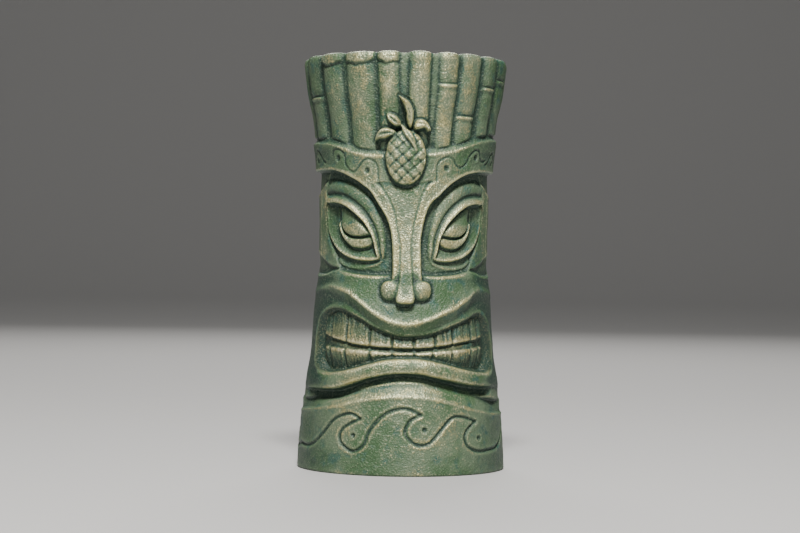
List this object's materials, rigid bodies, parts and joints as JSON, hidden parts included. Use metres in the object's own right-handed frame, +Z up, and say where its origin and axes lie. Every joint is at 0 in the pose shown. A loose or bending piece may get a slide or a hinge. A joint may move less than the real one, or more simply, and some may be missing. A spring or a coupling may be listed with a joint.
{
  "type": "tiki mug",
  "caption": "Tall ceramic tiki mug with a carved grimacing face, bamboo-cane rim, pineapple badge and flared wave-cut foot.",
  "frame": {"origin": "centre of the foot's flat underside", "axes": "+Z up along the mug's axis, -Y the way the face looks, +X to the viewer's right when facing the face"},
  "size_m": [0.0908, 0.0908, 0.178],
  "materials": {
    "patina_clay": "matt green cast patina with dark recesses and pale gold rubbed edges",
    "patina_trim": "matt green patina rubbed more heavily with pale gold",
    "tooth_patina": "matt green patina rubbed with brownish gold",
    "mug_wall": "satin dark green glaze inside, matt patina outside"
  },
  "bodies": {
    "root": {"mug_wall": "mug_wall", "mug_floor": "mug_wall", "wave_band": "patina_clay", "chin_step": "patina_clay", "back_panel": "patina_clay", "lower_lip": "patina_clay", "muzzle": "patina_clay", "upper_teeth": "tooth_patina", "lower_teeth": "tooth_patina", "brow_strip_left": "patina_clay", "brow_strip_right": "patina_clay", "nose_strip": "patina_clay", "nostril_left": "patina_clay", "nostril_right": "patina_clay", "temple_left": "patina_clay", "temple_right": "patina_clay", "brow_left": "patina_clay", "brow_right": "patina_clay", "eye_rim_left": "patina_clay", "eye_rim_right": "patina_clay", "eyeball_left": "patina_trim", "eyeball_right": "patina_trim", "headband": "patina_clay", "pineapple": "patina_trim", "leaf_1": "patina_trim", "leaf_2": "patina_trim", "leaf_3": "patina_trim", "leaf_4": "patina_trim", "leaf_5": "patina_trim", "cane_01": "patina_clay", "cane_02": "patina_clay", "cane_03": "patina_clay", "cane_04": "patina_clay", "cane_05": "patina_clay", "cane_06": "patina_clay", "cane_07": "patina_clay", "cane_08": "patina_clay", "cane_09": "patina_clay", "cane_10": "patina_clay", "cane_11": "patina_clay", "cane_12": "patina_clay", "cane_13": "patina_clay", "cane_14": "patina_clay", "cane_15": "patina_clay", "cane_16": "patina_clay", "cane_17": "patina_clay", "cane_18": "patina_clay", "cane_19": "patina_clay", "cane_20": "patina_clay"}
  },
  "joints": []
}
